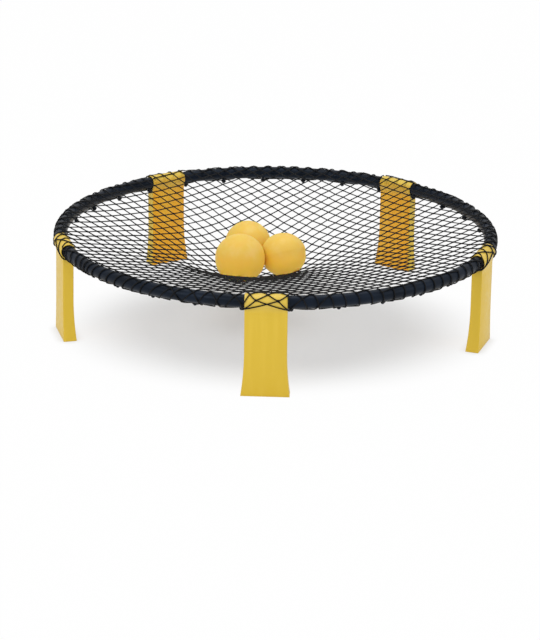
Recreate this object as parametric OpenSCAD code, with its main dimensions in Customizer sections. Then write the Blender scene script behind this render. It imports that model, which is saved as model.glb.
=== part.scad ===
// Roundnet set: five curved rim tubes that plug together inside the sleeves of five
// folding legs, one knotted net hooked over the rim, and three inflated balls in the net.
// Millimetres, +Z up. The origin is on the floor under the middle of the rim, and the
// front leg points along -Y.

/* [Rim] */
// Radius of the rim's centreline
rim_r = 437.5; // [400:0.5:480]
// Height of the rim's centreline above the floor
rim_z = 186.5; // [160:0.5:260]
// Outside diameter of a rim tube
tube_d = 25; // [21:0.5:31]
// Wall of a rim tube
tube_wall = 2; // [1.5:0.1:3]
// Length of the narrowed end that plugs into the next tube
spigot_l = 28; // [15:1:36]
// Gap all round a narrowed end inside the next tube
spigot_gap = 0.2; // [0.1:0.05:0.5]

/* [Net hooks] */
// Hooks on each rim tube
hooks = 6; // [3:1:9]
// Diameter of a hook's neck
hook_neck_d = 6; // [4:0.5:8]
// Diameter of a hook's rounded head
hook_head_d = 8; // [6:0.5:10]
// How far a hook hangs below its tube
hook_drop = 8; // [6:0.5:12]
// How far a hook stands in from the tube's centreline
hook_inset = 6; // [5:0.5:8]
// Clearance between a leg's sleeve and the hook beside it
hook_leg_gap = 3; // [1:0.5:10]

/* [Legs] */
// Width of a leg and of the sleeve at its top
leg_w = 80; // [65:1:100]
// Thickness of a leg under its sleeve
leg_t = 21; // [14:0.5:24]
// Width of the foot
foot_w = 93; // [84:1:124]
// Thickness of the foot
foot_t = 26.5; // [25:0.5:36]
// Height at which the leg starts to spread towards its foot
flare_z = 90; // [60:1:120]
// Distance from the hinge line out to the leg's outer face
leg_out = 10.5; // [7:0.5:13]
// Wall of the hollow leg
leg_wall = 3; // [2:0.5:4]
// Wall of the sleeve round the rim tubes
sleeve_wall = 1.9; // [1.5:0.1:4]
// Least gap between a rim tube and the sleeve that turns on it
sleeve_gap = 0.15; // [0.1:0.05:0.5]

/* [Net] */
// Width of one diamond of the net across its corners, about twice the real mesh
net_diamond = 70; // [66:1:90]
// Thickness of a strand
strand = 2.2; // [1.5:0.1:3]
// Clearance between the net and the rim or the sleeves
net_gap = 0.5; // [0.4:0.1:1]
// How far each large ball draws the net down, as a share of its funnel's logarithm
ball_pull = 19; // [8:0.5:22]
// Slack of the net by itself at the middle of the rim
net_slack = 26; // [10:1:35]

/* [Balls] */
// Diameter of the two fully inflated balls
ball_d = 97; // [89:0.5:97]
// Diameter of the softer ball
soft_ball_d = 88; // [84:0.5:88]
// Wall of a ball's rubber skin
skin_wall = 1.6; // [1.2:0.1:2.5]
// Clearance between a ball and the net it lies on
ball_gap = 0.3; // [0.2:0.1:1]
// Diameter of an inflation valve
valve_d = 7.6; // [6:0.1:10]

/* [Hidden] */
LEGS = 5;
$fn = 96;

navy = "#1b222c";
yellow = "#dcbc48";
black = "#101114";
ball_yellow = "#e6b850";

step = 360 / LEGS;
front = -90;
tube_r = tube_d / 2;
tube_bore_r = tube_r - tube_wall;
spigot_r = tube_bore_r - spigot_gap;
spigot_bore_r = spigot_r - tube_wall;
function arc_deg(length) = length / rim_r * 180 / PI;

// The curved tubes run through a straight sleeve. The sleeve's axis, which is the leg's
// hinge line, halves their bow, and its bore leaves room for the rest of it.
bow = rim_r - sqrt(rim_r * rim_r - leg_w * leg_w / 4);
hinge_r = rim_r - bow / 2;
sleeve_bore_r = tube_r / cos(asin(leg_w / 2 / rim_r)) + bow / 2 + sleeve_gap;
sleeve_r = sleeve_bore_r + sleeve_wall;

// --- Rim tubes ---

hook_first = arc_deg(leg_w / 2 + hook_leg_gap + hook_head_d / 2);
hook_step = (step - 2 * hook_first) / (hooks - 1);
shoulder = arc_deg(4);

// A solid bar bent along the rim from angle a to angle b
module bent_bar(r, a, b) {
  rotate([0, 0, a]) rotate_extrude(angle = b - a) translate([rim_r, 0]) circle(r = r);
}

module hook() {
  top = -tube_r * 0.4;
  head_z = -tube_r - hook_drop + hook_head_d / 2;
  translate([rim_r - hook_inset, 0, head_z]) {
    cylinder(d = hook_neck_d, h = top - head_z);
    sphere(d = hook_head_d);
  }
}

// One fifth of the rim, with its narrowed end before angle 0
module rim_tube(k) {
  color(navy) translate([0, 0, rim_z]) rotate([0, 0, front + step * (k - 1)]) difference() {
    union() {
      bent_bar(tube_r, 0, step);
      bent_bar(spigot_r, -arc_deg(spigot_l), shoulder / 2);
      for (h = [0 : hooks - 1]) rotate([0, 0, hook_first + h * hook_step]) hook();
    }
    bent_bar(tube_bore_r, shoulder, step + 1);
    bent_bar(spigot_bore_r, -arc_deg(spigot_l) - 1, shoulder * 1.5);
  }
}

// --- Legs ---

// Radius of the arc that leaves a straight side at flare_z and is out by so much at the floor
function flare_r(out) = (flare_z * flare_z + out * out) / (2 * out);
side_out = (foot_w - leg_w) / 2;
inner_flare_r = flare_r(foot_t - leg_t);
leg_in = leg_out - leg_t;

// How far a side has drawn in at a height, where the foot is narrower than the leg
function drawn_in(z) =
  side_out == 0 ? 0
  : let (r = -flare_r(side_out)) r - sqrt(r * r - pow(flare_z - z, 2));

// Outlines stand in the XY plane with Y as the height, drawn in by inset all round
module spreading_outline(inset, top) {
  half = leg_w / 2 - inset;
  r = flare_r(side_out);
  difference() {
    translate([-foot_w / 2, inset]) square([foot_w, top - inset]);
    for (s = [-1, 1]) {
      translate([s * (leg_w / 2 + r), flare_z]) circle(r = r + inset);
      translate([s > 0 ? half : -half - foot_w, flare_z]) square([foot_w, top]);
    }
  }
}

module narrowing_outline(inset, top) {
  half = leg_w / 2 - inset;
  low = [for (n = [0 : 12]) let (z = inset + (flare_z - inset) * n / 12) [half - drawn_in(z), z]];
  right = concat(low, [[half, top]]);
  polygon(concat(right, [for (n = [len(right) - 1 : -1 : 0]) [-right[n][0], right[n][1]]]));
}

module front_outline(inset, top) {
  if (side_out > 0) spreading_outline(inset, top);
  else narrowing_outline(inset, top);
}

module side_outline(inset, top) {
  difference() {
    translate([leg_out - foot_t, inset]) square([foot_t - inset, top - inset]);
    translate([leg_in - inner_flare_r, flare_z]) circle(r = inner_flare_r + inset);
    translate([leg_in + inset - foot_t, flare_z]) square([foot_t, top]);
  }
}

module leg_blank(inset, top) {
  reach = max(leg_w, foot_w) + foot_t;
  intersection() {
    translate([0, reach / 2, 0]) rotate([90, 0, 0]) linear_extrude(reach) front_outline(inset, top);
    translate([-reach / 2, 0, 0]) rotate([90, 0, 90]) linear_extrude(reach)
      side_outline(inset, top);
  }
}

module along_hinge(r, length) {
  translate([0, 0, rim_z]) rotate([0, 90, 0]) cylinder(r = r, h = length, center = true);
}

// A hollow moulded leg. In its own frame the hinge line is the X axis at rim height and +Y
// points out of the rim.
module leg(k) {
  color(yellow) rotate([0, 0, front + step * (k - 1) - 90]) translate([0, hinge_r, 0])
    difference() {
      union() {
        leg_blank(0, rim_z);
        along_hinge(sleeve_r, leg_w);
      }
      along_hinge(sleeve_bore_r, leg_w + 2);
      leg_blank(leg_wall, rim_z - sleeve_r - leg_wall);
    }
}

// --- Net ---

// Where the balls lie: place across and along, and radius. The rear and right balls lie
// against the front one, each with its clearance in plan.
front_ball = [-69.8, -48.4];
rear_ball_gap = 0.534;
right_ball_gap = 0.549;
function beside_front(way, d, gap) = front_ball + way / norm(way) * ((ball_d + d) / 2 + gap);
BALLS = [
  [each front_ball, ball_d / 2],
  [each beside_front([11.1, 96.9], ball_d, rear_ball_gap), ball_d / 2],
  [each beside_front([87.3, 32.2], soft_ball_d, right_ball_gap), soft_ball_d / 2]
];
pull_core = 45;

// Depth of a funnel drawn by one load at q, at the point p, in a net held at radius rim_r
function funnel(p, q) =
  let (
    a = p / rim_r,
    b = q / rim_r,
    core = pow(pull_core / rim_r, 2),
    far = 1 - 2 * (a * b) + (a * a) * (b * b),
    near = (a - b) * (a - b)
  )
  ln((far + core) / (near + core)) / 2;

function add(v, i = 0) = i < len(v) ? v[i] + add(v, i + 1) : 0;

function net_drop(p) =
  add([for (b = BALLS) ball_pull * pow(2 * b[2] / ball_d, 3) * funnel(p, [b[0], b[1]])])
  + net_slack * (1 - p * p / (rim_r * rim_r));

// How far a strand's middle stands off the rim's centreline. Each strand is bent in steps of
// 60 degrees round the tube, so its corners stand out a little further than its flats.
function stand_off(r) = (r + net_gap + strand / 2) / cos(30);
off_tube = stand_off(tube_r);
off_sleeve = stand_off(sleeve_r);
on_sleeve = leg_w / 2 + strand + 1;
off_blend = on_sleeve + 27;

// The leg nearest to an angle, and the distance along the rim from it
function leg_angle(a) = front + step * round((a - front) / step);
function from_leg(a) = (a - leg_angle(a)) * PI / 180 * rim_r;
function off_at(s) =
  abs(s) < on_sleeve ? off_sleeve
  : abs(s) > off_blend ? off_tube
  : off_sleeve + (off_tube - off_sleeve) * (abs(s) - on_sleeve) / (off_blend - on_sleeve);

function angle_of(p) = atan2(p[1], p[0]);
function net_z(p) =
  let (over_sleeve = off_at(from_leg(angle_of(p))) - off_tube)
  rim_z + off_tube + over_sleeve * pow(norm(p) / rim_r, 8) - net_drop(p);

// Knots sit on rows half a diamond apart. Odd rows are moved half a diamond across.
net_shift = [-22.5, -2.5];
function odd(j) = abs(j) % 2;
function knot_xy(i, j) = [(i + odd(j) / 2) * net_diamond, j * net_diamond / 2] + net_shift;
across = ceil(rim_r / net_diamond) + 1;
knots = [
  for (j = [-2 * across : 2 * across], i = [-across : across])
    if (norm(knot_xy(i, j)) < rim_r) [i, j]
];
spots = [for (k = knots) let (p = knot_xy(k[0], k[1])) [p[0], p[1], net_z(p)]];
key_step = 1000;
keys = [for (k = knots) k[0] * key_step + k[1]];
function knot_at(i, j) = let (hit = search(i * key_step + j, keys)) len(hit) == 0 ? -1 : hit[0];

// Four strands leave a knot: 0 to +X+Y, 1 to -X+Y, 2 to -X-Y and 3 to +X-Y
function heading(d) = [cos(45 + 90 * d), sin(45 + 90 * d)];
function next_knot(k, d) =
  let (i = k[0] + odd(k[1]) - (d == 1 || d == 2 ? 1 : 0), j = k[1] + (d < 2 ? 1 : -1))
  knot_at(i, j);
links = [for (k = knots) [for (d = [0 : 3]) next_knot(k, d)]];

// Where a strand that leaves the last knot crosses the rim's centreline
function crossing(p, u) = p + u * (-p * u + sqrt(pow(p * u, 2) + rim_r * rim_r - p * p));
function flat(p) = [p[0], p[1]];
least_square_on = 0.45;
outward = [
  for (n = [0 : len(knots) - 1], d = [0 : 3])
    if (links[n][d] < 0)
      let (u = heading(d), c = crossing(flat(spots[n]), u))
      if (c * u / rim_r > least_square_on) [n, d, angle_of(c)]
];
least_apart = arc_deg(7);
function apart(a, b) = abs((a - b + 540) % 360 - 180);
wraps = [
  for (w = [0 : len(outward) - 1])
    if (len([for (v = [0 : w - 1]) if (apart(outward[v][2], outward[w][2]) < least_apart) v]) == 0)
      outward[w]
];

// A strand that comes over a sleeve runs to the hook beside the leg, and the strands next to
// it make room
hook_reach = leg_w / 2 + hook_leg_gap + 0.5;
function side(s) = s < 0 ? -1 : 1;
function end_s(s) =
  let (d = abs(s))
  side(s) * (
    d < on_sleeve ? hook_reach + 0.2 * d
    : d < off_blend ? d + (hook_reach - 0.8 * on_sleeve) * (off_blend - d) / (off_blend - on_sleeve)
    : d
  );

// Stops round the rim, from its top over the outside to underneath, and how far along its
// sideways run a strand is at each
TOP_STOP = 90;
NEAR_TOP_STOP = 65;
stops = [TOP_STOP, 30, -30, -80];
runs = [0, 0.4, 1, 1];
near_edge = 10;

// A frame at a stop: its middle, the way out of the rim and the way back along the rim
function stop_frame(w, m) =
  let (
    s0 = from_leg(w[2]),
    over = abs(s0) < on_sleeve,
    close = rim_r - norm(flat(spots[w[0]])) < near_edge,
    a = m == 0 && close ? NEAR_TOP_STOP : stops[m],
    s = s0 + (end_s(s0) - s0) * runs[m],
    base = leg_angle(w[2]),
    turn = over ? base : base + arc_deg(s),
    radial = [cos(turn), sin(turn), 0],
    along = [-sin(turn), cos(turn), 0],
    out = cos(a) * radial + sin(a) * [0, 0, 1],
    middle = (over ? hinge_r * radial + s * along : rim_r * radial) + [0, 0, rim_z]
  )
  [middle + off_at(s0) * out, out, -along];

function ring(f) =
  let (up = f[1] * strand / 2, right = f[2] * strand / 2)
  [f[0] + right + up, f[0] + right - up, f[0] - right - up, f[0] - right + up];

// Each knot is a small flat block with a corner between each two strands
corner = strand / sqrt(2);
function knot_points(p) = [
  for (c = [0 : 3], z = [strand / 2, -strand / 2])
    p + [corner * cos(90 * c), corner * sin(90 * c), z]
];
net_points = concat(
  [for (p = spots) each knot_points(p)],
  [for (w = wraps, m = [0 : len(stops) - 1]) each ring(stop_frame(w, m))]
);

// Corners of a strand's end, seen along the strand: right top, right bottom, left bottom, left top
function mouth(n, d) =
  let (r = 8 * n + 2 * d, l = 8 * n + 2 * ((d + 1) % 4)) [r, r + 1, l + 1, l];
function facing(m) = [m[3], m[2], m[1], m[0]];
function stop_ring(w, m) =
  let (b = 8 * len(knots) + 4 * (len(stops) * w + m)) [b, b + 1, b + 2, b + 3];
function quad(a, b, c, d) = [[a, b, c], [a, c, d]];
function strand_faces(p, q) =
  [for (k = [0 : 3]) let (l = (k + 1) % 4) each quad(p[k], q[k], q[l], p[l])];
function cap(q) = quad(q[0], q[3], q[2], q[1]);
function is_wrapped(n, d) = len([for (w = wraps) if (w[0] == n && w[1] == d) 1]) > 0;

net_faces = concat(
  [for (n = [0 : len(knots) - 1]) let (b = 8 * n) each quad(b, b + 6, b + 4, b + 2)],
  [for (n = [0 : len(knots) - 1]) let (b = 8 * n + 1) each quad(b, b + 2, b + 4, b + 6)],
  [
    for (n = [0 : len(knots) - 1], d = [0 : 1])
      if (links[n][d] >= 0)
        each strand_faces(mouth(n, d), facing(mouth(links[n][d], d + 2)))
  ],
  [
    for (n = [0 : len(knots) - 1], d = [0 : 3])
      if (links[n][d] < 0 && !is_wrapped(n, d)) each cap(mouth(n, d))
  ],
  [
    for (w = [0 : len(wraps) - 1])
      each concat(
        strand_faces(mouth(wraps[w][0], wraps[w][1]), stop_ring(w, 0)),
        [
          for (m = [1 : len(stops) - 1])
            each strand_faces(stop_ring(w, m - 1), stop_ring(w, m))
        ],
        cap(stop_ring(w, len(stops) - 1))
      )
  ]
);

inner_strands = len([for (l = links, d = [0 : 1]) if (l[d] >= 0) 1]);
net_gaps = inner_strands - len(knots) + 1 + len(wraps);
echo(net_gaps = net_gaps, net_triangles = len(net_faces), wraps = len(wraps));

module net() {
  color(black) polyhedron(points = net_points, faces = net_faces, convexity = 10);
}

// --- Balls ---

// Height of a ball's middle when it lies on the strands: each sampled point of a strand
// within reach keeps its distance from the ball
samples = 8;
strand_pairs = [
  for (n = [0 : len(knots) - 1], d = [0 : 1])
    if (links[n][d] >= 0) [spots[n], spots[links[n][d]]]
];
function ball_z(b) =
  let (
    reach = b[2] + ball_gap + strand * 0.68,
    tops = [
      for (pair = strand_pairs, t = [0 : samples - 1])
        let (
          p = pair[0] + (pair[1] - pair[0]) * t / samples,
          d = norm(flat(p) - [b[0], b[1]])
        )
        if (d < reach) p[2] + sqrt(reach * reach - d * d)
    ]
  )
  max(tops);
valve_gap = 0.2;
valve_flange_d = valve_d + 4;
valve_flange_t = 1.5;
valve_l = 5;

// Turns +Z to a direction given as an angle round and an angle up
module aim(round_angle, up_angle) {
  rotate([0, 90 - up_angle, round_angle]) children();
}

VALVE_AIMS = [[150, -25], [100, 20], [20, -30]];

module at_ball(b) {
  translate([BALLS[b][0], BALLS[b][1], ball_z(BALLS[b])]) children();
}

module ball(b) {
  r = BALLS[b][2];
  color(ball_yellow) at_ball(b) difference() {
    sphere(r = r);
    sphere(r = r - skin_wall);
    aim(VALVE_AIMS[b][0], VALVE_AIMS[b][1]) cylinder(d = valve_d + 2 * valve_gap, h = r + 1);
  }
}

module valve(b) {
  r = BALLS[b][2];
  face = sqrt(r * r - valve_d * valve_d / 4) - 0.1;
  seat = sqrt(pow(r - skin_wall, 2) - pow(valve_flange_d / 2, 2)) - 0.1;
  color(ball_yellow) at_ball(b) aim(VALVE_AIMS[b][0], VALVE_AIMS[b][1]) {
    translate([0, 0, seat - valve_flange_t]) cylinder(d = valve_flange_d, h = valve_flange_t);
    translate([0, 0, face - valve_l]) cylinder(d = valve_d, h = valve_l);
  }
}

rim_tube(1);  // rim_tube_1
rim_tube(2);  // rim_tube_2
rim_tube(3);  // rim_tube_3
rim_tube(4);  // rim_tube_4
rim_tube(5);  // rim_tube_5
leg(1);  // leg_1
leg(2);  // leg_2
leg(3);  // leg_3
leg(4);  // leg_4
leg(5);  // leg_5
net();
ball(0);  // ball_front
valve(0);  // ball_front_valve
ball(1);  // ball_rear
valve(1);  // ball_rear_valve
ball(2);  // ball_right
valve(2);  // ball_right_valve
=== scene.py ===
"""Roundnet set: a rim of dark tubes on folding yellow legs, a knotted net and three balls."""

import logging
import math
from dataclasses import dataclass
from enum import Enum
from typing import Iterable, Sequence

import bmesh
import bpy
import numpy as np
from bpy.types import Material, Node, NodeSocket, NodeTree, Object
from mathutils import Matrix, Vector


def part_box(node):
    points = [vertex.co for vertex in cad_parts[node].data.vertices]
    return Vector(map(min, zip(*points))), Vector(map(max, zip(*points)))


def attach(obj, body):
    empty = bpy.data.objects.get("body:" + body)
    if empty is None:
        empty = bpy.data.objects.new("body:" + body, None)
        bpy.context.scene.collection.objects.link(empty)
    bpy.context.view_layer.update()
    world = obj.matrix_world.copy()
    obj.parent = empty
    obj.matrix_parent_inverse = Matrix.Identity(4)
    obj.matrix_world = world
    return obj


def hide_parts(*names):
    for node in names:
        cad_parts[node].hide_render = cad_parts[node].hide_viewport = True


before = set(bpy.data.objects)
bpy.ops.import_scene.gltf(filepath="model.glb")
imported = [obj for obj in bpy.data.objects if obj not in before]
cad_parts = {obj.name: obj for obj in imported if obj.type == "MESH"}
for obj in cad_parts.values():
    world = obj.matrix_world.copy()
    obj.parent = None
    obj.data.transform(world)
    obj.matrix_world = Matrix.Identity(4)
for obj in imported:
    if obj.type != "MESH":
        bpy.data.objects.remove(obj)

LOG = logging.getLogger("roundnet")
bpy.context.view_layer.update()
MM = 0.001
TAU = 2.0 * math.pi
FIXED_BODY = "rim_and_net"
TWINE_UV = "twine_uv"
WHITE = (1.0, 1.0, 1.0, 1.0)
UP = np.array([0.0, 0.0, 1.0])
Source = NodeSocket | Node
Array = np.ndarray
Pair = tuple[float, float]
Triple = tuple[float, float, float]


# ---- small helpers


def srgb(code: str) -> tuple[float, ...]:
    """Turn an sRGB hex code, "#rrggbb", into the linear colour that a shader reads."""
    parts = [int(code[i : i + 2], 16) / 255.0 for i in (1, 3, 5)]
    return (*(c / 12.92 if c <= 0.04045 else ((c + 0.055) / 1.055) ** 2.4 for c in parts), 1.0)


def smooth(t: Array | float) -> Array | float:
    """Ease from 0 to 1 with flat ends, and hold outside that range."""
    c = np.clip(t, 0.0, 1.0)
    return c * c * (3.0 - 2.0 * c)


def mesh_object(
    name: str,
    verts: Iterable[Sequence[float]],
    faces: Iterable[Sequence[int]],
    edges: Iterable[Sequence[int]] = (),
) -> Object:
    """Link a new object that holds one mesh, at the origin.

    Args:
        name: The piece's name.
        verts: Corner positions in metres.
        faces: Corner numbers of each face.
        edges: Corner numbers of each loose edge.

    Returns:
        The new object.
    """
    mesh = bpy.data.meshes.new(name)
    mesh.from_pydata(*([tuple(row) for row in rows] for rows in (verts, edges, faces)))
    mesh.update()
    obj = bpy.data.objects.new(name, mesh)
    bpy.context.scene.collection.objects.link(obj)
    return obj


def tidy_normals(obj: Object, merge: float = 1e-6) -> None:
    """Merge doubled corners and turn every face outwards.

    Args:
        obj: The piece to mend.
        merge: Distance under which two corners become one, in metres.
    """
    bm = bmesh.new()
    bm.from_mesh(obj.data)
    bmesh.ops.remove_doubles(bm, verts=bm.verts, dist=merge)
    bmesh.ops.recalc_face_normals(bm, faces=bm.faces)
    bm.to_mesh(obj.data)
    bm.free()


def shade(obj: Object, angle_deg: float) -> None:
    """Shade a piece smooth, and keep edges sharper than an angle crisp."""
    obj.data.shade_smooth()
    obj.data.set_sharp_from_angle(angle=math.radians(angle_deg))


def log_piece(obj: Object) -> None:
    """Log a finished piece."""
    LOG.info("%s: %d faces", obj.name, len(obj.data.polygons))


def polar(p: Array) -> tuple[Array, Array]:
    """Distance from the middle, and angle in degrees, of points on the floor plan."""
    return np.hypot(p[..., 0], p[..., 1]), np.degrees(np.arctan2(p[..., 1], p[..., 0]))


def heading(angle: Array) -> Array:
    """Level unit vectors in directions given in degrees."""
    a = np.radians(angle)
    return np.stack([np.cos(a), np.sin(a), 0.0 * a], -1)


def ball_room(name: str) -> tuple[Array, float]:
    """Middle and radius of a ball, from the box of its CAD node."""
    low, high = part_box(f"ball_{name}")
    return np.array((low + high) / 2.0), float((high - low).x) / 2.0


def settle(obj: Object) -> None:
    """Apply a piece's modifiers and leave it one plain mesh."""
    graph = bpy.context.evaluated_depsgraph_get()
    made = bpy.data.meshes.new_from_object(obj.evaluated_get(graph))
    obj.modifiers.clear()
    obj.data = made


def dress(obj: Object, material: Material) -> None:
    """Give a piece one material all over."""
    obj.data.materials.clear()
    obj.data.materials.append(material)


# ---- node trees


class Graph:
    """Builds a node tree. A node given as a value stands for its first output."""

    def __init__(self, tree: NodeTree) -> None:
        """Start on an empty tree."""
        self.tree = tree
        self.tree.nodes.clear()

    def add(self, kind: str, inputs: dict[str | int, object] | None = None,
            **settings: object) -> Node:
        """Make a node.

        Args:
            kind: The node's Blender type.
            inputs: Values, outputs or nodes, by socket name or number.
            settings: Node properties by name.

        Returns:
            The new node.
        """
        node = self.tree.nodes.new(kind)
        for key, value in settings.items():
            setattr(node, key, value)
        for key, value in (inputs or {}).items():
            if isinstance(value, (Node, NodeSocket)):
                self.link(value, node.inputs[key])
            else:
                node.inputs[key].default_value = value
        return node

    def link(self, source: Source, target: NodeSocket) -> None:
        """Join an output to an input."""
        output = source.outputs[0] if isinstance(source, Node) else source
        self.tree.links.new(output, target)

    def math(self, operation: str, a: object, b: object = 0.0) -> Node:
        """Add a Math node."""
        return self.add("ShaderNodeMath", {0: a, 1: b}, operation=operation)

    def vector(self, operation: str, a: object, b: object = (0.0, 0.0, 0.0)) -> Node:
        """Add a Vector Math node."""
        return self.add("ShaderNodeVectorMath", {0: a, 1: b}, operation=operation)

    def scaled(self, source: Source, low: float, high: float, to_low: float = 0.0,
               to_high: float = 1.0, ease: str = "LINEAR") -> Node:
        """Map a value from one range to another, clamped."""
        ends = {"From Min": low, "From Max": high, "To Min": to_low, "To Max": to_high}
        return self.add("ShaderNodeMapRange", {"Value": source, **ends}, interpolation_type=ease)


@dataclass(frozen=True)
class Coat:
    """A colour laid over another from one noise value up, fully from a second one."""

    colour: str
    size_mm: float
    low: float
    high: float
    most: float = 1.0
    detail: float = 3.0
    stretch: Triple = (1.0, 1.0, 1.0)
    roughness: float = 0.5


@dataclass(frozen=True)
class Gloss:
    """A roughness that wanders between two values, in blots of one size."""

    size_mm: float
    smoothest: float
    roughest: float
    detail: float = 3.0


@dataclass(frozen=True)
class Grain:
    """Noise that stands up from the surface by a real depth."""

    size_mm: float
    depth_mm: float
    strength: float
    detail: float = 2.0


class Surface(Graph):
    """A material's tree: one Principled shader with its output."""

    noise_span: Pair = (0.3, 0.7)

    def __init__(self, name: str, constants: dict[str, object]) -> None:
        """Make the material.

        Args:
            name: The material's name.
            constants: Values for the shader's own sockets, by name.
        """
        self.material = bpy.data.materials.new(name)
        self.material.use_nodes = True
        super().__init__(self.material.node_tree)
        self.shader = self.add("ShaderNodeBsdfPrincipled", constants)
        self.add("ShaderNodeOutputMaterial", {"Surface": self.shader})
        self.place = self.add("ShaderNodeTexCoord").outputs["Object"]

    def noise(self, size_mm: float, detail: float = 3.0, stretch: Sequence[float] = (1, 1, 1),
              roughness: float = 0.5) -> Node:
        """Add noise in object space.

        Args:
            size_mm: Width of one blot in millimetres.
            detail: Octaves of finer noise.
            stretch: Share of the frequency kept along each axis.
            roughness: Strength of the finer octaves.

        Returns:
            The noise, about 0.5 on average.
        """
        mapping = self.add("ShaderNodeMapping", {"Vector": self.place, "Scale": stretch})
        return self.add("ShaderNodeTexNoise", {"Vector": mapping, "Scale": 1.0 / MM / size_mm,
                                               "Detail": detail, "Roughness": roughness})

    def blend(self, factor: Source, a: Source | str, b: Source | str) -> NodeSocket:
        """Mix two colours, each an output or a hex code."""
        ends = {6 + n: srgb(c) if isinstance(c, str) else c for n, c in enumerate((a, b))}
        return self.add("ShaderNodeMix", {0: factor, **ends}, data_type="RGBA").outputs[2]

    def coat(self, under: Source | str, coat: Coat) -> NodeSocket:
        """Lay a coat over a colour."""
        noise = self.noise(coat.size_mm, coat.detail, coat.stretch, coat.roughness)
        mask = self.scaled(noise, coat.low, coat.high, 0.0, coat.most)
        return self.blend(mask, under, coat.colour)

    def bump(self, height: Source, depth_mm: float, strength: float,
             under: Node | None = None) -> Node:
        """Add a bump of a real depth, on top of another one if given."""
        values = {"Height": height, "Distance": depth_mm * MM, "Strength": strength}
        return self.add("ShaderNodeBump", values if under is None else {**values, "Normal": under})

    def grained(self, *grains: Grain) -> Node:
        """Stack bumps of noise, the finest first."""
        normal = None
        for g in grains:
            normal = self.bump(self.noise(g.size_mm, g.detail), g.depth_mm, g.strength, normal)
        return normal

    def finish(self, colour: Source, gloss: Gloss, normal: Node) -> Material:
        """Join colour, roughness and normal to the shader, and return the material."""
        wander = self.noise(gloss.size_mm, gloss.detail)
        rough = self.scaled(wander, *self.noise_span, gloss.smoothest, gloss.roughest)
        for name, source in {"Base Color": colour, "Roughness": rough, "Normal": normal}.items():
            self.link(source, self.shader.inputs[name])
        return self.material


# ---- finishes


@dataclass(frozen=True)
class TubePlastic:
    """Extruded dark navy plastic tube, satin, faintly rubbed."""

    base: str = "#070b12"
    sheen: str = "#c3d6f2"
    rubbed: Coat = Coat("#101824", 45.0, 0.35, 0.7, detail=4.0)
    dust: Coat = Coat("#1f2834", 3.0, 0.62, 0.78, 0.35, 5.0, (1, 1, 0.25), 0.65)
    gloss: Gloss = Gloss(12.0, 0.32, 0.46)
    grain: Grain = Grain(0.9, 0.05, 0.35)
    waves: Grain = Grain(14.0, 0.4, 0.25)

    def make(self) -> Material:
        """Build the material."""
        s = Surface("satin_navy_tube_plastic", {
            "IOR": 1.49, "Specular IOR Level": 0.22, "Specular Tint": srgb(self.sheen)})
        tint = s.coat(s.coat(self.base, self.rubbed), self.dust)
        return s.finish(tint, self.gloss, s.grained(self.grain, self.waves))


@dataclass(frozen=True)
class LegPlastic:
    """Blow-moulded yellow polyethylene, satin. A painted shade makes the faces towards the rim's
    middle more orange, and a painted highlight makes the sleeve's outer side paler.
    """

    outer: str = "#ddb92a"
    # painted shade: the deeper orange of the faces that look towards the rim's middle
    inner: str = "#f6b008"
    # painted highlight: the paler yellow of the sleeve's outward side
    sleeve: str = "#dcbc48"
    # painted shade on the sleeve's side towards the rim's middle
    sleeve_shaded: str = "#d9a92a"
    # height band over which the sleeve's painted highlight and painted shade take over from the
    # plate's colours
    sleeve_from: float = 0.166
    sleeve_to: float = 0.180
    streak: Coat = Coat("#e8c640", 16.0, 0.45, 0.75, 0.45, stretch=(1, 1, 0.12))
    speck: Coat = Coat("#c79a2e", 1.4, 0.66, 0.8, 0.3)
    gloss: Gloss = Gloss(9.0, 0.34, 0.5)
    grain: Grain = Grain(0.7, 0.04, 0.4)
    waves: Grain = Grain(30.0, 0.6, 0.2)

    def make(self) -> Material:
        """Build the material."""
        s = Surface("moulded_yellow_leg_plastic", {"IOR": 1.5})
        # mask of the painted shade, stored on each face of the leg
        inward_shade = s.add("ShaderNodeAttribute", attribute_name="inward_shade").outputs["Fac"]
        height = s.add("ShaderNodeSeparateXYZ", {0: s.place}).outputs[2]
        # above this height the sleeve's painted highlight and painted shade replace the plate's
        # colours
        head = s.scaled(height, self.sleeve_from, self.sleeve_to)
        outer_and_highlight = s.blend(head, self.outer, self.sleeve)
        painted_shade_tint = s.blend(head, self.inner, self.sleeve_shaded)
        # painted shade on the inner faces, laid under the plastic's own streaks and specks
        tint = s.coat(s.coat(s.blend(inward_shade, outer_and_highlight, painted_shade_tint), self.streak), self.speck)
        return s.finish(tint, self.gloss, s.grained(self.grain, self.waves))


@dataclass(frozen=True)
class NetTwine:
    """Braided black polyester twine, matt, with a slight sheen on the fibres."""

    deep: str = "#030304"
    worn: str = "#0d0e11"
    pitch_mm: float = 3.6
    yarns: float = 2.0
    fuzz_mm: float = 1.1
    braid_tone: float = 0.22
    tone_span: Pair = (0.35, 0.95)
    braid_depth_mm: float = 0.12
    braid_strength: float = 0.6
    gloss: Gloss = Gloss(2.0, 0.62, 0.85, 2.0)

    def make(self) -> Material:
        """Build the material: two crossing spirals of yarn round each strand."""
        s = Surface("braided_black_twine", {
            "IOR": 1.45, "Specular IOR Level": 0.25, "Sheen Weight": 0.03})
        uv = s.add("ShaderNodeUVMap", uv_map=TWINE_UV)
        parts = s.add("ShaderNodeSeparateXYZ", {0: uv}).outputs
        turns = s.math("MULTIPLY", parts[0], self.yarns)
        lengths = s.math("DIVIDE", parts[1], self.pitch_mm * MM)
        spirals = [s.math("SINE", s.math("MULTIPLY", s.math(way, turns, lengths), TAU))
                   for way in ("ADD", "SUBTRACT")]
        braid = s.math("MAXIMUM", *spirals)
        tone = s.math("ADD", s.math("MULTIPLY", braid, self.braid_tone), s.noise(self.fuzz_mm))
        tint = s.blend(s.scaled(tone, *self.tone_span), self.deep, self.worn)
        normal = s.bump(braid, self.braid_depth_mm, self.braid_strength)
        return s.finish(tint, self.gloss, normal)


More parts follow.
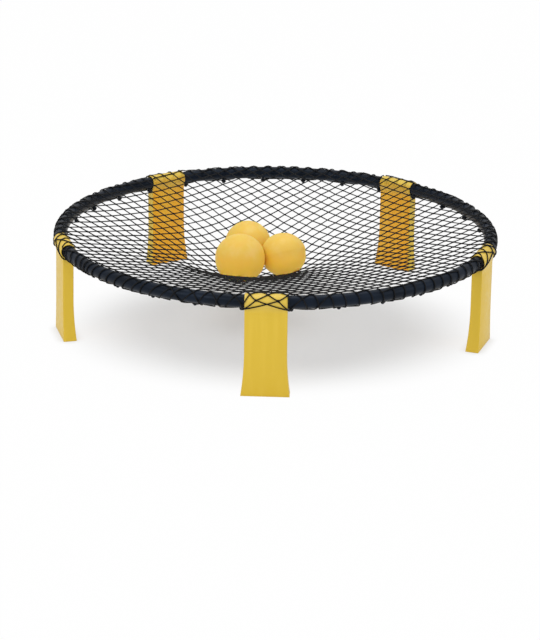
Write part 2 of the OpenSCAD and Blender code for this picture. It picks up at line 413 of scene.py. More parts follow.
@dataclass(frozen=True)
class BallRubber:
    """Thin inflated rubber skin, fine matt, with a faint bloom and scuffs, and painted light on
    its lower half.
    """

    base: str = "#e3bf4e"
    # painted light: the brighter, more orange tone of the ball's lower half
    low: str = "#ffcd4a"
    glow: Triple = (0.03, 0.016, 0.004)
    bloom: Coat = Coat("#e6cb73", 22.0, 0.42, 0.72, 0.6, 4.0)
    scuff: Coat = Coat("#dcab42", 4.5, 0.62, 0.74, 0.5, 6.0, (1, 0.4, 1), 0.7)
    gloss: Gloss = Gloss(6.0, 0.42, 0.6)
    grain: Grain = Grain(0.8, 0.05, 0.5)
    waves: Grain = Grain(18.0, 0.5, 0.25, 3.0)

    def make(self) -> Material:
        """Build the material."""
        s = Surface("matt_yellow_ball_rubber", {
            "IOR": 1.5, "Subsurface Weight": 0.85, "Subsurface Radius": self.glow,
            "Subsurface Scale": 1.0})
        # mask of the painted light on the lower half, stored on the skin's points
        under = s.add("ShaderNodeAttribute", attribute_name="under").outputs["Fac"]
        tint = s.coat(s.blend(under, s.coat(self.base, self.bloom), self.low), self.scuff)
        return s.finish(tint, self.gloss, s.grained(self.grain, self.waves))


@dataclass(frozen=True)
class ValveRubber:
    """Softer rubber of an inflation valve, a shade darker than the skin."""

    rim: str = "#dcab40"
    worn: Coat = Coat("#c4922f", 1.5, 0.4, 0.7)
    gloss: Gloss = Gloss(1.0, 0.5, 0.65, 2.0)
    grain: Grain = Grain(0.5, 0.04, 0.5)

    def make(self) -> Material:
        """Build the material."""
        s = Surface("soft_valve_rubber", {"IOR": 1.5})
        return s.finish(s.coat(self.rim, self.worn), self.gloss, s.grained(self.grain))


# ---- rim


@dataclass
class Rim:
    """The round rim: its circle, its tubes, the legs' places and the net hooks.

    Lengths are in millimetres and angles in degrees.
    """

    radius: float = 437.5
    height: float = 186.5
    tube_radius: float = 12.5
    count: int = 5
    front: float = -90.0
    sleeve_half: float = 40.0
    sleeve_radius: float = 15.52
    hinge_radius: float = 436.584
    hooks: int = 6
    hook_first: float = 47.0
    hook_inset: float = 6.0

    @property
    def step(self) -> float:
        """Angle between two legs."""
        return 360.0 / self.count

    @property
    def per_degree(self) -> float:
        """Length along the rim of one degree."""
        return self.radius * math.pi / 180.0

    def leg_angles(self) -> list[float]:
        """Angle of each leg round the rim."""
        return [self.front + self.step * k for k in range(self.count)]

    def along(self, angle: Array) -> tuple[Array, Array]:
        """Split an angle into the nearest leg's angle and the length from it."""
        leg = self.front + self.step * np.round((angle - self.front) / self.step)
        return leg, (angle - leg) * self.per_degree

    def hook_lengths(self) -> Array:
        """Signed lengths from a leg to the hooks nearer to it than to the next leg."""
        span = self.step * self.per_degree
        gap = (span - 2.0 * self.hook_first) / (self.hooks - 1)
        half = self.hooks // 2
        right = self.hook_first + gap * np.arange(half)
        return np.concatenate([-right[::-1], right])

    def dress_tubes(self, material: Material) -> None:
        """Give each tube its finish; the tubes keep their shape."""
        for k in range(1, self.count + 1):
            dress(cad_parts[f"rim_tube_{k}"], material)
            LOG.info("rim_tube_%d dressed", k)


# ---- legs


@dataclass
class Leg:
    """One hollow moulded leg with its sleeve, as a plate that swells into a tube.

    In its own frame +Y points out of the rim, the hinge line is the X axis at rim height.
    Lengths are in millimetres.
    """

    rim: Rim
    width: float = 80.0
    out: float = 10.5
    thick: float = 21.0
    foot_width: float = 93.0
    foot_thick: float = 26.5
    flare_height: float = 90.0
    bore_radius: float = 13.62
    plate_top: float = 165.0
    ease: float = 3.0
    edge_round: float = 2.2
    edge_steps: int = 4
    edge_deg: float = 50.0
    crisp_deg: float = 35.0
    foot_rows: int = 15
    plate_rows: int = 8
    # where a face starts to take the painted shade of inner faces, and over how much it reaches it
    # fully
    inner_shade_from: float = 0.7
    inner_shade_over: float = 0.25
    turns: int = 56
    columns: int = 6

    def flare(self, out: float, z: float) -> float:
        """How far a face has spread at a height, on an arc that ends out by that much."""
        if z >= self.flare_height:
            return 0.0
        r = (self.flare_height**2 + out**2) / (2.0 * out)
        return r - math.sqrt(r * r - (self.flare_height - z) ** 2)

    def half_width(self, z: float) -> float:
        """Half the leg's width at a height."""
        return self.width / 2.0 + self.flare((self.foot_width - self.width) / 2.0, z)

    def inner(self, z: float) -> float:
        """Y of the inner face at a height."""
        return self.out - self.thick - self.flare(self.foot_thick - self.thick, z)

    def head_reach(self, angle: float) -> float:
        """Distance from the hinge line to the head's outline in a direction.

        The outline is the sleeve's circle, eased into the plate's two faces below it.

        Args:
            angle: Direction in the YZ plane in radians, 0 outwards and a quarter turn up.

        Returns:
            The distance in millimetres.
        """
        c, s = math.cos(angle), math.sin(angle)
        reach = self.rim.sleeve_radius
        if s >= 0.0:
            return reach
        floor = (self.rim.height - self.plate_top) / -s
        side = self.out if c > 0.0 else self.out - self.thick
        face = side / c if abs(c) > 1e-6 else math.inf
        plate = min(floor, face)
        if plate <= reach:
            return reach
        if plate >= reach + 2.0 * self.ease:
            return plate
        both = math.exp(reach / self.ease) + math.exp(plate / self.ease)
        return min(floor, math.log(both) * self.ease)

    def outline(self) -> tuple[list[Pair], list[Pair]]:
        """Lay out the head's two rings, each with the plate's top row first.

        Returns:
            The bore's points and the outline's points, as Y and height over the hinge line.
        """
        down = self.rim.height - self.plate_top
        ys = np.linspace(self.out, self.out - self.thick, self.columns + 1)
        top = [math.atan2(-down, y) for y in ys]
        rest = list(np.linspace(top[-1], top[0] - TAU, self.turns + 1)[1:-1])
        r = self.bore_radius
        bore = [(r * math.cos(a), r * math.sin(a)) for a in top + rest]
        reach = [self.head_reach(a) for a in rest]
        outer = [(float(y), -down) for y in ys]
        outer += [(r * math.cos(a), r * math.sin(a)) for r, a in zip(reach, rest)]
        return bore, outer

    def shell(self) -> tuple[Array, list[tuple[int, ...]]]:
        """Lay out two flat sides and the walls that join them.

        Returns:
            The corners in millimetres, and the corner numbers of each face.
        """
        bore, outer = self.outline()
        n, width = len(outer), self.columns + 1
        rows = [float(z) for z in (
            *np.linspace(0.0, self.flare_height, self.foot_rows),
            *np.linspace(self.flare_height, self.plate_top, self.plate_rows)[1:-1])]
        points = [(y, self.rim.height + z, self.half_width(self.plate_top))
                  for y, z in bore + outer]
        for z in rows:
            spread = self.inner(z) - self.out
            points += [(self.out + spread * (c / self.columns), z, self.half_width(z))
                       for c in range(width)]
        verts = [(side * half, y, z) for side in (-1.0, 1.0) for y, z, half in points]
        grid = [range(first, first + width) for first in range(2 * n, len(points), width)]
        grid.append(range(n, n + width))
        ring = [(i, (i + 1) % n) for i in range(n)]
        flat = [(i, j, n + j, n + i) for i, j in ring]
        flat += [(low[c], low[c + 1], high[c + 1], high[c])
                 for low, high in zip(grid, grid[1:]) for c in range(self.columns)]
        walls = []
        for i, j in ring:
            walls.append((i, j))
            if i >= self.columns:
                walls.append((n + i, n + j))
        walls += [(low[c], high[c]) for low, high in zip(grid, grid[1:])
                  for c in (0, self.columns)]
        walls += list(zip(grid[0], grid[0][1:]))
        far = len(points)
        faces = flat + [tuple(far + v for v in face) for face in flat]
        return np.array(verts), faces + [(i, j, far + j, far + i) for i, j in walls]

    def mark_inner_shade(self, obj: Object, angle: float) -> None:
        """Store on each face how far it looks towards the rim's middle, as the mask of the painted
        shade on inner faces.
        """
        out = Vector(heading(angle))
        facing = np.array([-face.normal.dot(out) for face in obj.data.polygons])
        layer = obj.data.attributes.new("inward_shade", "FLOAT", "FACE")
        layer.data.foreach_set("value", smooth((facing - self.inner_shade_from) / self.inner_shade_over))

    def build(self, number: int, angle: float, lean: float, material: Material) -> None:
        """Make a leg at its place round the rim.

        Args:
            number: The leg's number, from 1.
            angle: Its direction from the rim's middle, in degrees.
            lean: How far its foot stands outwards of the hinge line's foot.
            material: Its finish.
        """
        where, faces = self.shell()
        where[:, 1] += lean * np.clip(1.0 - where[:, 2] / self.rim.height, 0.0, 1.0)
        obj = mesh_object(f"leg_{number}_shell", where * MM, faces)
        turn = Matrix.Rotation(math.radians(angle - 90.0), 4, "Z")
        move = Matrix.Translation((0.0, self.rim.hinge_radius * MM, 0.0))
        obj.data.transform(turn @ move)
        tidy_normals(obj)
        bevel = obj.modifiers.new("edges", "BEVEL")
        bevel.width = self.edge_round * MM
        bevel.segments = self.edge_steps
        bevel.limit_method = "ANGLE"
        bevel.angle_limit = math.radians(self.edge_deg)
        bevel.harden_normals = True
        settle(obj)
        shade(obj, self.crisp_deg)
        self.mark_inner_shade(obj, angle)
        dress(obj, material)
        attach(obj, f"leg_{number}")
        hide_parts(f"leg_{number}")
        log_piece(obj)


# ---- balls


class Skin(Enum):
    """How full a ball is."""

    FIRM = "firm"
    SOFT = "soft"


@dataclass
class Ball:
    """One inflated ball and its valve. It takes its size and place from its CAD node.

    Lengths in the fields are in millimetres. Halves are its half sizes along X and Y, up
    and down, and full is how far it swells below its middle.
    """

    name: str
    skin: Skin
    valve_round: float
    valve_up: float
    seam_tilt: Triple
    halves: tuple[float, float, float, float]
    widest: float = 0.0
    neighbours: tuple[str, ...] = ()
    full: float = 0.0
    detail: int = 6
    fold_at: float = 4.5
    fold_stands: float = 0.5
    fold_fades: float = 12.0
    fold_sinks: float = 1.4
    sinks_over: float = 6.0
    rises_from: float = 10.0
    rises_over: float = 18.0
    seam_stands: float = 0.18
    seam_width: float = 0.8
    hole_radius: float = 4.0
    hole_edge: float = 2.0
    hole_depth: float = 1.0
    press_gap: float = 0.15
    # where the painted light on the lower half begins
    painted_light_from: float = 0.65
    valve_sides: int = 28
    valve_profile: tuple[Pair, ...] = (
        (0.0, -1.6), (0.45, -1.5), (0.6, -0.5), (1.1, -0.32), (2.4, -0.42), (2.9, -0.55),
        (3.2, -0.3), (3.8, -0.35), (4.1, -0.9), (4.1, -2.4), (0.0, -2.4))

    def __post_init__(self) -> None:
        """Read the middle and the radius."""
        self.middle, self.radius = ball_room(self.name)

    def valve_axis(self) -> Array:
        """Direction from the ball's middle to its valve."""
        a, b = math.radians(self.valve_round), math.radians(self.valve_up)
        return np.array([math.cos(a) * math.cos(b), math.sin(a) * math.cos(b), math.sin(b)])

    def build(self, rubber: Material, soft_rubber: Material) -> None:
        """Make the skin and the valve."""
        bm = bmesh.new()
        bmesh.ops.create_icosphere(bm, subdivisions=self.detail, radius=1.0)
        bm.verts.index_update()
        faces = [[v.index for v in face.verts] for face in bm.faces]
        unit = np.array([v.co for v in bm.verts])
        bm.free()
        unit /= np.linalg.norm(unit, axis=1)[:, None]
        wide, deep, up, down = (v * MM for v in self.halves)
        size = np.tile([wide, deep, up], (len(unit), 1))
        size[unit[:, 2] <= 0.0, 2] = down
        low = np.clip(-unit[:, 2], 0.0, None)
        size = size * (1.0 + 4.0 * self.full * low**2 * (1.0 - low**2))[:, None]
        middle = self.middle + [0.0, 0.0, self.widest * MM]
        out = middle + unit * (size + self.relief(unit)[:, None])
        obj = mesh_object(f"ball_{self.name}_skin", self.pressed(out), faces)
        obj.data.shade_smooth()
        # painted light: each point's share of the lower half's brighter tone, by how far it faces
        # down
        layer = obj.data.attributes.new("under", "FLOAT", "POINT")
        layer.data.foreach_set("value", smooth(self.painted_light_from - unit[:, 2]))
        dress(obj, rubber)
        body = f"ball_{self.name}"
        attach(obj, body)
        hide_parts(body)
        log_piece(obj)
        self.build_valve(soft_rubber)

    def pressed(self, points: Array) -> Array:
        """Flatten the skin where it leans on a neighbour, midway between the two."""
        for name in self.neighbours:
            middle, radius = ball_room(name)
            to = middle - self.middle
            far = float(np.linalg.norm(to))
            to /= far
            share = self.radius / (self.radius + radius)
            over = (points - self.middle) @ to - (far * share - self.press_gap * MM)
            points = points - np.clip(over, 0.0, None)[:, None] * to
        return points

    def relief(self, unit: Array) -> Array:
        """How far each point of the skin stands off its smooth form.

        Args:
            unit: Directions from the middle, one a row.

        Returns:
            The relief of each, in metres.
        """
        seam = np.array(self.seam_tilt, float)
        seam /= np.linalg.norm(seam)
        height = (unit @ seam) * self.radius / MM
        relief = self.seam_stands * MM * np.exp(-((height / self.seam_width) ** 2))
        if self.skin is Skin.SOFT:
            fold = height - self.fold_at
            above = np.exp(-np.clip(fold, 0.0, None) / self.fold_fades)
            below = np.clip(-fold, 0.0, None)
            sunk = self.fold_sinks * (1.0 - np.exp(-below / self.sinks_over))
            sunk = sunk * (1.0 - smooth((below - self.rises_from) / self.rises_over))
            stands = self.fold_stands
            relief = MM * np.where(fold > 0.0, stands * above, stands - sunk)
        at = np.arccos(np.clip(unit @ self.valve_axis(), -1.0, 1.0)) * self.radius / MM
        hole = 1.0 - smooth((at - self.hole_radius) / self.hole_edge)
        return relief - self.hole_depth * MM * hole

    def build_valve(self, material: Material) -> None:
        """Make the valve: a low dome in a ring, with a needle hole."""
        sides = self.valve_sides
        turns = [TAU * k / sides for k in range(sides)]
        verts = [(r * MM * math.cos(a), r * MM * math.sin(a), self.radius + h * MM)
                 for r, h in self.valve_profile for a in turns]
        ring = [(k, (k + 1) % sides) for k in range(sides)]
        faces = [(low + k, low + m, low + sides + m, low + sides + k)
                 for low in range(0, len(verts) - sides, sides) for k, m in ring]
        obj = mesh_object(f"ball_{self.name}_valve_plug", verts, faces)
        turn = Vector(self.valve_axis()).to_track_quat("Z", "Y").to_matrix().to_4x4()
        obj.data.transform(Matrix.Translation(self.middle) @ turn)
        tidy_normals(obj, 1e-5)
        shade(obj, 40.0)
        dress(obj, material)
        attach(obj, f"ball_{self.name}")
        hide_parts(f"ball_{self.name}_valve")
        log_piece(obj)


# ---- net


class Lay(Enum):
    """The two directions in which strands cross the net."""

    RIGHT = 0
    LEFT = 1


@dataclass
class Net:
    """The knotted net: its mesh, its sag under the balls, and its way round the rim.

    Lengths are in millimetres. The flat net is laid out on the floor plan, and place()
    lifts any point of it to where it hangs or wraps.
    """

    rim: Rim
    balls: list[Ball]
    across: float = 30.8
    deep: float = 33.2
    shift: Pair = (28.6, 5.3)
    turn: float = -0.0045
    shear: float = -0.0117
    rows: int = 32
    columns: int = 18
    twine: float = 2.4
    gap: float = 0.35
    pull: float = 16.2
    pull_radius: float = 48.5
    core: float = 45.0
    slack: float = 22.0
    load_back: float = 6.0
    loose_at: Pair = (-64.0, -42.0)
    loose_reach: float = 46.0
    loose_deep: float = 4.5
    touch: float = 1.7
    touch_share: float = 0.93
    lift_over: float = 45.0
    rest_share: float = 0.8
    sleeve_edge: float = 1.5
    edge_over: float = 4.0
    spread_half: float = 34.0
    spread_edge: float = 14.0
    spread_most: float = 0.4
    spread_by: float = 22.0
    short_curve: float = 0.0165
    short_from: float = 10.0
    tube_wrap: float = 13.0
    sleeve_wrap: float = 24.0
    sleeve_middle: float = 14.0
    middle_wrap: float = 39.0
    corner: Pair = (41.8, 132.0)
    under: float = 205.0
    turn_from: float = 163.0
    least_outward: float = 0.42
    steepest: float = 1.3
    leans_from: float = 0.3
    clear_of_sleeve: float = 3.5
    slip: float = 36.0
    near_curve: float = 0.000307
    near_reach: float = 250.0
    near_slope: float = 0.13
    drawn_left: float = 48.0
    drawn_right: float = 19.0
    sweeps: tuple[tuple[float, ...], ...] = (
        (0.74, 0.06, 0.95, 0.05, 0.5), (0.12, 0.15, 0.66, 0.1, -0.8))
    ring_points: int = 10
    ring_half: Pair = (4.4, 4.8)
    ring_drop: float = 2.4
    ring_tilt: float = 1.6
    uneven: float = 2.6
    slack_noise: float = 0.5
    knot_share: float = 0.85

    def __post_init__(self) -> None:
        """Set a strand's distance from the tube's middle and from the hinge line."""
        self.on_tube = self.rim.tube_radius + self.gap + self.twine / 2.0
        self.on_sleeve = self.rim.sleeve_radius + self.gap + self.twine / 2.0
        self.kept: dict[tuple[int, int], Array] = {}

    def over_sleeve(self, s: Array) -> Array:
        """1 over a sleeve, 0 on the tube, eased across the sleeve's end."""
        edge = self.rim.sleeve_half + self.sleeve_edge
        return 1.0 - smooth((np.abs(s) - edge) / self.edge_over)

    def wrap_reach(self, over: Array) -> Array:
        """Distance of a strand's middle from the rim's, on the tube or over a sleeve."""
        return self.on_tube + (self.on_sleeve - self.on_tube) * over

    def sag(self, p: Array) -> Array:
        """Depth of the net under the balls and its own slack, without their touch."""
        size = self.rim.radius
        a = p / size
        core = (self.core / size) ** 2
        depth = self.slack * (1.0 - (p * p).sum(-1) / size**2)
        for ball in self.balls:
            b = (ball.middle[:2] / MM + [0.0, self.load_back]) / size
            weight = self.pull * (ball.radius / MM / self.pull_radius) ** 2
            far = 1.0 - 2.0 * (a @ b) + (a * a).sum(-1) * (b @ b)
            near = ((a - b) ** 2).sum(-1)
            depth = depth + weight * np.log((far + core) / (near + core)) / 2.0
        loose = self.balls[0].middle[:2] / MM + np.array(self.loose_at)
        away = ((p - loose) ** 2).sum(-1) / self.loose_reach**2
        return depth + self.loose_deep * np.exp(-away)

    def hang(self, p: Array) -> Array:
        """Height of the hanging net at points inside the rim's circle."""
        r, angle = polar(p)
        _, s = self.rim.along(angle)
        inside = self.rim.radius - r
        lift = (self.on_sleeve - self.on_tube) * self.over_sleeve(s)
        lift = lift * (1.0 - smooth(inside / self.lift_over))
        z = self.rim.height + self.on_tube + lift - self.sag(p)
        for ball in self.balls:
            middle = ball.middle / MM
            reach = ball.radius / MM + self.touch
            wide, deep, _, down = (v * MM / ball.radius for v in ball.halves)
            d = np.hypot((p[:, 0] - middle[0]) / wide, (p[:, 1] - middle[1]) / deep)
            fuller = 1.0 + 4.0 * ball.full * (d / reach) ** 2
            depth = down * fuller * np.sqrt(np.clip(reach**2 - d**2, 0.0, None))
            under = middle[2] + ball.widest - depth
            z = np.where(d < reach * self.touch_share, np.minimum(z, under), z)
        wrap = self.on_tube + lift
        rest = self.rim.height + np.sqrt(np.clip(wrap**2 - inside**2, 0.0, None))
        return np.where(inside < wrap * self.rest_share, np.maximum(z, rest), z)

    def wrap_point(self, leg: Array, s: Array, turned: Array) -> Array:
        """Place points on the rim's wrap.

        Args:
            leg: Angle of the nearest leg, in degrees.
            s: Length along the rim from that leg.
            turned: Degrees gone from the rim's top, over the outside.

        Returns:
            One position a row.
        """
        over = self.over_sleeve(s)[:, None]
        reach = self.wrap_reach(over)
        t = np.radians(90.0 - turned)[:, None]
        bent, straight = heading(leg + s / self.rim.per_degree), heading(leg)
        bent_mid = bent * self.rim.radius
        straight_mid = straight * self.rim.hinge_radius + np.cross(UP, straight) * s[:, None]
        out = bent + (straight - bent) * over
        middle = bent_mid + (straight_mid - bent_mid) * over
        return middle + out * reach * np.cos(t) + UP * (reach * np.sin(t) + self.rim.height)

    def place(self, p: Array) -> Array:
        """Lift flat points to where the net hangs or wraps."""
        r, angle = polar(p)
        leg, s = self.rim.along(angle)
        beyond = r - self.rim.radius
        inner = np.column_stack([p, self.hang(p)])
        spread, drawn = self.drawn(s, beyond)
        reach = self.wrap_reach(self.over_sleeve(spread))
        turned = np.degrees(np.clip(drawn, 0.0, None) / reach)
        wrapped = self.wrap_point(leg, spread, turned)
        return np.where((beyond > 0)[:, None], wrapped, inner)

    def drawn(self, s: Array, beyond: Array) -> tuple[Array, Array]:
        """Spread the mesh over a sleeve, where the hooks beside it draw it wide and short."""
        over = 1.0 - smooth((np.abs(s) - self.spread_half) / self.spread_edge)
        widen = 1.0 + self.spread_most * np.clip(beyond / self.spread_by, 0.0, 1.0) * over
        short = self.short_curve * np.clip(beyond - self.short_from, 0.0, None) ** 2 * over
        return s * widen, beyond - short

    def flat(self, i: int, j: int) -> Array:
        """Place of a knot on the flat net."""
        x = (i + (j % 2) / 2.0) * self.across + self.shift[0]
        y = j * self.deep / 2.0 + self.shift[1]
        c, s = math.cos(self.turn), math.sin(self.turn)
        p = np.array([x * c - y * s + self.shear * y, x * s + y * c])
        size = self.rim.radius
        near = max(-p[1], 0.0)
        swept = self.near_curve * min(near, self.near_reach) ** 2
        swept += self.near_slope * max(near - self.near_reach, 0.0)
        drawn_out = (self.drawn_left if p[0] < 0.0 else self.drawn_right) * (p[0] / size) ** 3
        p[0] += drawn_out * (1.0 - 0.5 * near / size) - swept * (1.0 - 0.2 * p[0] / size)
        wander = np.array([math.sin(12.9898 * i + 78.233 * j), math.sin(39.346 * i + 11.135 * j)])
        return p + self.uneven * (wander * 43758.5453 % 1.0 - 0.5)

    @staticmethod
    def next_knot(i: int, j: int, lay: Lay) -> tuple[int, int]:
        """The knot one row on along a strand."""
        return i + (j % 2) - lay.value, j + 1

    def reach_at(self, p: Array) -> float:
        """Flat radius up to which the mesh keeps its knots, at that angle."""
        _, s = self.rim.along(polar(p)[1])
        over = self.over_sleeve(s * 1.05)
        wrap = self.middle_wrap if abs(s) < self.sleeve_middle else self.sleeve_wrap
        return self.rim.radius + self.tube_wrap + (wrap - self.tube_wrap) * over

    def chains(self) -> list[tuple[Lay, list[tuple[int, int]]]]:
        """Follow every strand across the net from end to end."""
        kept = self.kept
        for j in range(-self.rows, self.rows + 1):
            for i in range(-self.columns, self.columns + 1):
                p = self.flat(i, j)
                if math.hypot(*p) < self.reach_at(p):
                    kept[(i, j)] = p
        found = []
        for lay in Lay:
            heads = set(kept) - {self.next_knot(i, j, lay) for i, j in kept}
            for head in sorted(heads):
                chain = [head]
                while (nxt := self.next_knot(*chain[-1], lay)) in kept:
                    chain.append(nxt)
                found.append((lay, chain))
        return found

    def sweep(self, angle: float) -> float:
        """How far the hooks draw a strand sideways on the tube left of the front leg."""
        share = (self.rim.front - angle) / self.rim.step
        return float(sum(
            most * (smooth((share - start) / rise) * (1.0 - smooth((share - stop) / fall)))
            for start, rise, stop, fall, most in self.sweeps))

    def turning(self, start: float, bend: float, before: int, after: int) -> Array:
        """Degrees round the rim from a start to the hook, in even steps to and from a bend."""
        to_bend = np.linspace(start, bend, before + 1)[1:]
        return np.concatenate([to_bend, np.linspace(bend, self.under, after + 1)[1:]])

    def tail(self, last: Array, beyond: Array) -> Array | None:
        """Run a strand from its last knot round the rim to a hook.

        It keeps its own line over the outside of the rim, and only underneath does it turn
        to the nearest hook. Over a sleeve it makes for the hook beside the leg.

        Args:
            last: Flat place of the last knot.
            beyond: Flat place of the knot that would follow it.

        Returns:
            Positions along the way, or None where the strand turns back before the rim.
        """
        r, angle = polar(last)
        leg, s = self.rim.along(angle)
        step = beyond - last
        length = math.hypot(*step)
        outward = float(step @ last) / (r * length)
        sideways = float(last[0] * step[1] - last[1] * step[0]) / (r * length)
        if outward < self.least_outward:
            return None
        s, drawn = self.drawn(s, r - self.rim.radius)
        over = self.over_sleeve(s)
        reach = self.wrap_reach(over)
        start = math.degrees(drawn / reach)
        slope = sideways / outward + self.sweep(angle)
        slope = max(-self.steepest, min(slope, self.steepest))
        if over > 0.5:
            side = math.copysign(1.0, slope if abs(slope) > self.leans_from else s)
            edge, lowest = self.corner
            fall = math.degrees((edge - side * s) / reach)
            bend = min(lowest, max(90.0, start + fall))
            turned = self.turning(start, bend, 8, 7)
            path = np.interp(turned, [start, bend], [s, side * edge])
            target = side * self.rim.hook_first
        else:
            bend = max(self.turn_from, start + 10.0)
            turned = self.turning(start, bend, 10, 6)
            gone = np.radians(turned - start) * reach
            path = s + slope * self.slip * (1.0 - np.exp(-gone / self.slip))
            lowest = self.rim.sleeve_half + self.clear_of_sleeve
            path = np.copysign(np.maximum(np.abs(path), lowest), path)
            hooks = self.rim.hook_lengths()
            target = hooks[np.argmin(np.abs(hooks - path[-1]))]
        path = path + (target - path) * smooth((turned - bend) / (self.under - bend))
        return self.wrap_point(np.full(len(path), leg), path, turned)

    def strand(self, lay: Lay, chain: list[tuple[int, int]]) -> Array:
        """Lay out one strand from hook to hook.

        Args:
            lay: Its direction.
            chain: Its knots.

        Returns:
            Its positions, in millimetres.
        """
        flat = [self.kept[k] for k in chain]
        share = np.array([0.0, 1 / 3, 2 / 3])[:, None]
        points = [a + (b - a) * share for a, b in zip(flat, flat[1:])]
        pieces = [self.place(np.concatenate([*points, flat[-1][None, :]]))]
        end = self.tail(flat[-1], self.flat(*self.next_knot(*chain[-1], lay)))
        if end is not None:
            pieces.append(end)
        i, j = chain[0]
        start = self.tail(flat[0], self.flat(i - ((j - 1) % 2) + lay.value, j - 1))
        if start is not None:
            pieces.insert(0, start[::-1])
        return np.concatenate(pieces)

    def hook_rings(self) -> list[Array]:
        """Lay out the loop of twine round each hook's neck."""
        rings = []
        around = np.linspace(0.0, TAU, self.ring_points, endpoint=False)
        deep, wide = self.ring_half
        level = self.rim.height - self.rim.tube_radius - self.ring_drop
        for n, leg in enumerate(self.rim.leg_angles()):
            for m, s in enumerate(self.rim.hook_lengths()):
                out = heading(leg + s / self.rim.per_degree)
                tilt = self.ring_tilt * math.sin(3.7 * n + 2.3 * m)
                ring = out * (self.rim.radius - self.rim.hook_inset)
                ring = ring + np.outer(np.cos(around) * deep, out)
                ring = ring + np.outer(np.sin(around) * wide, np.cross(UP, out))
                ring[:, 2] = level + tilt * np.sin(around)
                rings.append(ring)
        return rings

    def wires(self) -> Object:
        """Make a bare mesh with every strand as a line of edges."""
        lines = [(self.strand(lay, chain), False) for lay, chain in self.chains()]
        lines += [(ring, True) for ring in self.hook_rings()]
        edges, base = [], 0
        for line, closed in lines:
            last = base + len(line) - 1
            edges += [(n, n + 1) for n in range(base, last)] + [(last, base)] * closed
            base = last + 1
        corners = np.concatenate([line for line, _ in lines])
        return mesh_object("net_strands", corners * MM, [], edges)

    def knots(self) -> Object:
        """Make a bare mesh with a point and a direction at every knot."""
        flat = np.array([self.kept[k] for k in sorted(self.kept)])
        here = self.place(flat)
        east = self.place(flat + [0.5, 0.0]) - here
        north = self.place(flat + [0.0, 0.5]) - here
        up = np.cross(east, north)
        up /= np.linalg.norm(up, axis=1)[:, None]
        obj = mesh_object("net_knots", here * MM, [])
        facing = obj.data.attributes.new("facing", "FLOAT_VECTOR", "POINT")
        facing.data.foreach_set("vector", up.astype(np.float32).ravel())
        return obj

    def build(self, material: Material) -> None:
        """Make the strands and the knots."""
        for obj, tree, sizes in (
            (self.wires(), strand_tree(material),
             {"Thickness": self.twine * MM, "Slack": self.slack_noise * MM}),
            (self.knots(), knot_tree(material),
             {"Twine": self.knot_share * self.twine * MM}),
        ):
            run_nodes(obj, tree, sizes)
            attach(obj, FIXED_BODY)
            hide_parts("net")
            log_piece(obj)


def run_nodes(obj: Object, tree: NodeTree, values: dict[str, float]) -> None:
    """Run a geometry tree on a piece and keep the result as a plain mesh.

    Args:
        obj: The piece.
        tree: The geometry tree.
        values: Values of its named inputs.
    """
    mod = obj.modifiers.new(tree.name, "NODES")
    mod.node_group = tree
    for item in tree.interface.items_tree:
        if item.name in values:
            mod[item.identifier] = values[item.name]
    settle(obj)


def open_tree(name: str, *values: str) -> tuple[Graph, Node, Node]:
    """Start a geometry tree.

    Args:
        name: The tree's name.
        values: Names of its float inputs.

    Returns:
        The graph, its input node and its output node.
    """
    tree = bpy.data.node_groups.new(name, "GeometryNodeTree")
    tree.is_modifier = True
    sockets = [("Geometry", "INPUT", "Geometry"), *((label, "INPUT", "Float") for label in values),
               ("Geometry", "OUTPUT", "Geometry")]
    for label, side, kind in sockets:
        tree.interface.new_socket(name=label, in_out=side, socket_type=f"NodeSocket{kind}")
    graph = Graph(tree)
    return graph, graph.add("NodeGroupInput"), graph.add("NodeGroupOutput")


def close_tree(g: Graph, geometry: Node, material: Material, out: Node) -> NodeTree:
    """End a geometry tree in Realize Instances and Set Material."""
    real = g.add("GeometryNodeRealizeInstances", {0: geometry})
    g.link(g.add("GeometryNodeSetMaterial", {"Geometry": real, "Material": material}),
           out.inputs[0])
    return g.tree


def captured(g: Graph, curve: Node, measure: str) -> Node:
    """Keep a measure of a curve's own points: its outputs are the curve and the measure."""
    node = g.add("GeometryNodeCaptureAttribute", {0: curve})
    node.capture_items.new("FLOAT", measure)
    g.link(g.add("GeometryNodeSplineParameter").outputs[measure], node.inputs[1])
    return node


def strand_tree(material: Material) -> NodeTree:
    """Sweep a round twine along every line of edges, with lengths round and along it."""
    g, inp, out = open_tree("twine_on_lines", "Thickness", "Slack")
    noise = g.add("ShaderNodeTexNoise", {
        "Vector": g.add("GeometryNodeInputPosition"), "W": 7.0, "Scale": 45.0, "Detail": 1.0},
        noise_dimensions="4D")
    centred = g.vector("SUBTRACT", noise.outputs["Color"], (0.5, 0.5, 0.5))
    offset = g.add("ShaderNodeVectorMath", {0: centred, "Scale": inp.outputs["Slack"]},
                   operation="SCALE")
    moved = g.add("GeometryNodeSetPosition", {"Geometry": inp, "Offset": offset})
    along = captured(g, g.add("GeometryNodeMeshToCurve", {"Mesh": moved}), "Length")
    half = g.math("MULTIPLY", inp.outputs["Thickness"], 0.5)
    ring = g.add("GeometryNodeCurvePrimitiveCircle", {"Resolution": 6, "Radius": half})
    around = captured(g, ring, "Factor")
    sweep = g.add("GeometryNodeCurveToMesh", {
        "Curve": along, "Profile Curve": around, "Fill Caps": True})
    uv = g.add("ShaderNodeCombineXYZ", {0: around.outputs[1], 1: along.outputs[1]})
    stored = g.add("GeometryNodeStoreNamedAttribute", {
        "Geometry": sweep, "Name": TWINE_UV, "Value": uv}, data_type="FLOAT2", domain="CORNER")
    return close_tree(g, g.add("GeometryNodeSetShadeSmooth", {0: stored}), material, out)


